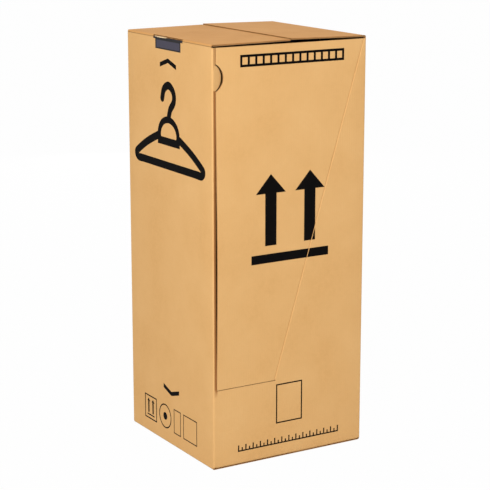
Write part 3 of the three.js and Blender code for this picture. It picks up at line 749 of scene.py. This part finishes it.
def place_flap(side):
    """The function that lays one flap's blank on the top, rounded where it leaves the wall."""
    pivot_x = LEFT if side < 0 else RIGHT
    cos, sin = math.cos(FLAP_RISE[side]), math.sin(FLAP_RISE[side])

    def place(u, v, depth):
        u, v, depth = (np.asarray(a, float) for a in (u, v, depth))
        turn = np.clip(1 - v / R, 0, 1) * math.pi / 2
        rounded = v < R
        arm = R - depth
        a = np.where(rounded, R - arm * np.sin(turn), v)
        low = np.where(rounded, R - arm * np.cos(turn), depth)
        x = pivot_x - side * (a * cos + low * sin)
        z = HEIGHT + a * sin - low * cos
        return np.stack([x, u, z], axis=1)

    return place


def flap_outline():
    """One outer top flap, with the notch over the T slot."""
    length = (RIGHT - LEFT) / 2 - SEAM_GAP / 2
    near, far = FRONT + FLAP_SETBACK, REAR - FLAP_SETBACK
    start = R * FLAP_ROOT_SHARE
    ear, notch = EAR_WIDTH / 2, SLOT_FLAP_NOTCH
    root = [(near + FLAP_SLANT, start), (-ear, start), (-ear, notch)]
    root += [(ear, notch), (ear, start), (far - FLAP_SLANT, start)]
    return root + [
        (far, start + FLAP_SLANT), (far, length), (near, length), (near, start + FLAP_SLANT),
    ]


def build_flaps():
    """Both outer top flaps."""
    u_lines = lines(FRONT + 0.02, REAR - 0.02, WALL_STEP)
    v_lines = lines(0, R, R / BEND_STEPS)[1:] + lines(0.02, 0.24, WALL_STEP)
    whole = [(FRONT, FRONT + WHOLE_FLUTES), (REAR - WHOLE_FLUTES, REAR)]
    for side, name in ((-1, "top_flap_left"), (1, "top_flap_right")):
        build_board(
            name, name, name, "board_top", OUTER_TOP_SHADED,
            flap_outline(), (u_lines, v_lines), place_flap(side), whole,
        )


def build_flap_creases():
    """The rounded strips of liner that join the side walls to the outer top flaps."""
    ear = EAR_WIDTH / 2
    parts = (("front", FRONT + STRIP_END_GAP, -ear), ("rear", ear, REAR - STRIP_END_GAP))
    for side, name in ((-1, "top_flap_left"), (1, "top_flap_right")):
        pivot_x = LEFT if side < 0 else RIGHT
        for part, y0, y1 in parts:
            points, flute = [], []
            for depth in (0.0, LINER):
                arm = R - depth
                for y in np.linspace(y0, y1, STRIP_COLUMNS):
                    for t in np.linspace(STRIP_FOOT, 1.0, STRIP_TURNS):
                        angle = max(t, 0) * math.pi / 2
                        a = R - arm * math.cos(angle)
                        low = R - arm * math.sin(angle) + (R * -t * STRIP_FOOT_DROP if t < 0 else 0)
                        z = HEIGHT - low + a * math.tan(FLAP_RISE[side])
                        points.append((pivot_x - side * a, y, z))
                        flute.append(y)
            faces = strip_faces(STRIP_TURNS, STRIP_COLUMNS, mirror=False)
            strip = mesh_object(f"{name}_crease_{part}", points, faces, flute)
            face_outward(strip)
            strip.data.materials.append(OUTER_TOP_SHADED)
            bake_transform(strip)


# The T slot's finish: a near-black rim round the bar's end plate, painted shade for the gaps round
# it, and a pale strip above it, a painted highlight on the lit cut edge of the flap's notch

SHADE_RIM_WIDTH = 5 * MM
RIM_RISE = 0.35 * MM
BAR_FIT = 0.8 * MM
BAR_SEAT_GAP = 0.3 * MM
BAR_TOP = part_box("hanging_bar")[1][2]
HIGHLIGHT_START = 5 * MM
HIGHLIGHT_END = 76 * MM
HIGHLIGHT_STEPS = 26


def loop_edges(bm, points):
    """A closed loop of edges through the points."""
    verts = [bm.verts.new(p) for p in points]
    return [bm.edges.new((a, b)) for a, b in zip(verts, verts[1:] + verts[:1])]


def build_plate_shade_rims():
    """A near-black rim round each end plate, wide across the ears: painted shade for the dark gaps
    round the plate and the slot's dark ears.
    """
    half, ear = SLOT_WIDTH / 2 - BAR_FIT, EAR_WIDTH / 2 - BAR_FIT
    foot = HEIGHT - SLOT_DEPTH + BAR_SEAT_GAP
    step = HEIGHT - EAR_DEPTH + BAR_SEAT_GAP
    outer = [(-half, foot), (half, foot), (half, step), (ear, step)]
    outer += [(ear, BAR_TOP), (-ear, BAR_TOP), (-ear, step), (-half, step)]
    low, high, wide = foot + SHADE_RIM_WIDTH * 0.7, step - SHADE_RIM_WIDTH * 0.5, half - SHADE_RIM_WIDTH
    inner = [(-wide, low), (wide, low), (wide, high), (-wide, high)]
    for side, name in ((-1, "left"), (1, "right")):
        face = RIGHT - BAR_SEAT_GAP
        bm = bmesh.new()
        edges = []
        for ring in (outer, inner):
            edges += loop_edges(bm, [(side * face, y, z) for y, z in ring])
        bmesh.ops.triangle_fill(bm, use_beauty=True, edges=edges)
        made = bmesh.ops.extrude_face_region(bm, geom=bm.faces[:])["geom"]
        moved = [v for v in made if isinstance(v, bmesh.types.BMVert)]
        bmesh.ops.translate(bm, verts=moved, vec=(side * RIM_RISE, 0, 0))
        bmesh.ops.recalc_face_normals(bm, faces=bm.faces[:])
        mesh = bpy.data.meshes.new(f"plate_shade_rim_{name}")
        bm.to_mesh(mesh)
        bm.free()
        dress(add_object(f"plate_shade_rim_{name}", mesh), "carton", "bar_plastic", PLASTIC_SHADE_RIM)


def build_edge_highlight():
    """A pale strip along the left flap's notch: painted highlight on the lit cut edge there."""
    points, faces = [], []
    for i, y in enumerate(np.linspace(HIGHLIGHT_START, HIGHLIGHT_END, HIGHLIGHT_STEPS + 1)):
        taper = max(0.0, math.sin(math.pi * i / HIGHLIGHT_STEPS)) ** 0.35
        ragged = 0.4 * math.sin(i * 2.3) + 0.3 * math.sin(i * 5.1)
        low = HEIGHT - (3.2 + (2.6 + ragged) * taper) * MM
        top = HEIGHT - 2.6 * MM
        for x in (LEFT - 0.1 * MM, LEFT + 0.5 * MM):
            points += [(x, y, low), (x, y, top)]
    for i in range(HIGHLIGHT_STEPS):
        a, b = 4 * i, 4 * i + 4
        faces += [[a, a + 1, b + 1, b], [a + 2, b + 2, b + 3, a + 3]]
        faces += [[a, b, b + 2, a + 2], [a + 1, a + 3, b + 3, b + 1]]
    end = 4 * HIGHLIGHT_STEPS
    faces += [[0, 2, 3, 1], [end, end + 1, end + 3, end + 2]]
    highlight = mesh_object("top_flap_left_torn_edge", points, faces)
    dress(highlight, "top_flap_left", "board_top", EDGE_HIGHLIGHT)


# The bar and the tape keep their CAD shapes

def finish_plain_parts():
    """The materials of the bar and the tape, and the bar's rounded edges."""
    for name, material, width in (("hanging_bar", PLASTIC, 0.5 * MM), ("bottom_tape", TAPE, 0)):
        piece = frame["nodes"][name]
        piece.data.materials.clear()
        piece.data.materials.append(material)
        if width:
            bevel = piece.modifiers.new("rounded_edges", "BEVEL")
            bevel.width = width
            bevel.segments = 2
            bevel.limit_method = "ANGLE"


def finish_print():
    """Ink on every CAD node that nothing else has dressed."""
    for name, piece in frame["nodes"].items():
        if piece.hide_render or name in ("hanging_bar", "bottom_tape"):
            continue
        piece.data.materials.clear()
        piece.data.materials.append(INK_BLACK)


# Camera, floor and light

CAMERA_AZIMUTH = math.radians(-31.05)
CAMERA_ELEVATION = math.radians(13.13)
CAMERA_DISTANCE = 4.897
CAMERA_TARGET = Vector((0.0006, 0.0, 0.5849))
CAMERA_LENS = 120.13
FLOOR_WHITE = 0.985
FLOOR_DROP = 0.5 * MM
FLOOR_HALF = 30


def build_camera():
    """The camera that was fitted to the photo."""
    data = bpy.data.cameras.new("photo_camera")
    data.sensor_width = 36
    data.lens = CAMERA_LENS
    data.clip_end = 100
    camera = add_object("photo_camera", data)
    level = math.cos(CAMERA_ELEVATION)
    aside, toward = math.sin(CAMERA_AZIMUTH) * level, -math.cos(CAMERA_AZIMUTH) * level
    back = Vector((aside, toward, math.sin(CAMERA_ELEVATION)))
    camera.location = CAMERA_TARGET + back * CAMERA_DISTANCE
    camera.rotation_euler = (-back).to_track_quat("-Z", "Y").to_euler()
    bpy.context.scene.camera = camera


def build_floor():
    """A white floor that shows as the backdrop's white, with a little of its shadow kept."""
    corners = [(x * FLOOR_HALF, y * FLOOR_HALF, 0) for x, y in ((-1, -1), (1, -1), (1, 1), (-1, 1))]
    mesh = bpy.data.meshes.new("studio_floor")
    mesh.from_pydata(corners, [], [(0, 1, 2, 3)])
    floor = add_object("studio_floor", mesh)
    floor.location.z = -FLOOR_DROP
    material, tree, shader = new_material("floor_white")
    shader.inputs["Base Color"].default_value = (0.42, 0.42, 0.42, 1)
    shader.inputs["Roughness"].default_value = 0.9
    path = tree.nodes.new("ShaderNodeLightPath")
    seen = math_node(tree, "MAXIMUM", path.outputs["Is Camera Ray"], path.outputs["Is Glossy Ray"])
    share = math_node(tree, "MULTIPLY", seen, FLOOR_WHITE)
    white = node(tree, "ShaderNodeEmission", in0=(1, 1, 1, 1), in1=1.0)
    lit, glow = shader.outputs[0], white.outputs[0]
    blend = node(tree, "ShaderNodeMixShader", in0=share, in1=lit, in2=glow)
    tree.links.new(blend.outputs[0], tree.nodes["Material Output"].inputs[0])
    floor.data.materials.append(material)


def area_light(name, location, target, size, power):
    """A round lamp that faces its target."""
    data = bpy.data.lights.new(name, "AREA")
    data.shape = "DISK"
    data.size = size
    data.energy = power
    light = add_object(name, data)
    light.location = location
    light.rotation_euler = (Vector(target) - Vector(location)).to_track_quat("-Z", "Y").to_euler()


def build_light():
    """A white backdrop with a dimmer world around it, and three lamps."""
    world = bpy.data.worlds.new("studio")
    bpy.context.scene.world = world
    world.use_nodes = True
    tree = world.node_tree
    tree.nodes.clear()
    output = tree.nodes.new("ShaderNodeOutputWorld")
    path = tree.nodes.new("ShaderNodeLightPath")
    seen = math_node(tree, "MAXIMUM", path.outputs["Is Camera Ray"], path.outputs["Is Glossy Ray"])
    around = node(tree, "ShaderNodeBackground", in0=(1.0, 0.98, 0.95, 1), in1=0.62)
    white = node(tree, "ShaderNodeBackground", in0=(1, 1, 1, 1), in1=1.0)
    blend = node(tree, "ShaderNodeMixShader", in0=seen, in1=around.outputs[0], in2=white.outputs[0])
    tree.links.new(blend.outputs[0], output.inputs[0])
    area_light("key", (-3.25, -3.1, 3.1), (0, 0, 0.9), 2.4, 178)
    area_light("fill", (3.2, -2.6, 1.8), (0, 0, 0.6), 2.4, 16)
    area_light("back", (2.2, 4.4, 1.0), (0, 0, 0.6), 2.4, 60)


bpy.context.scene.view_settings.view_transform = "Standard"
build_camera()
build_floor()
build_light()
build_carton()
build_door()
build_door_crease()
build_flaps()
build_flap_creases()
build_plate_shade_rims()
build_edge_highlight()
finish_plain_parts()
finish_print()
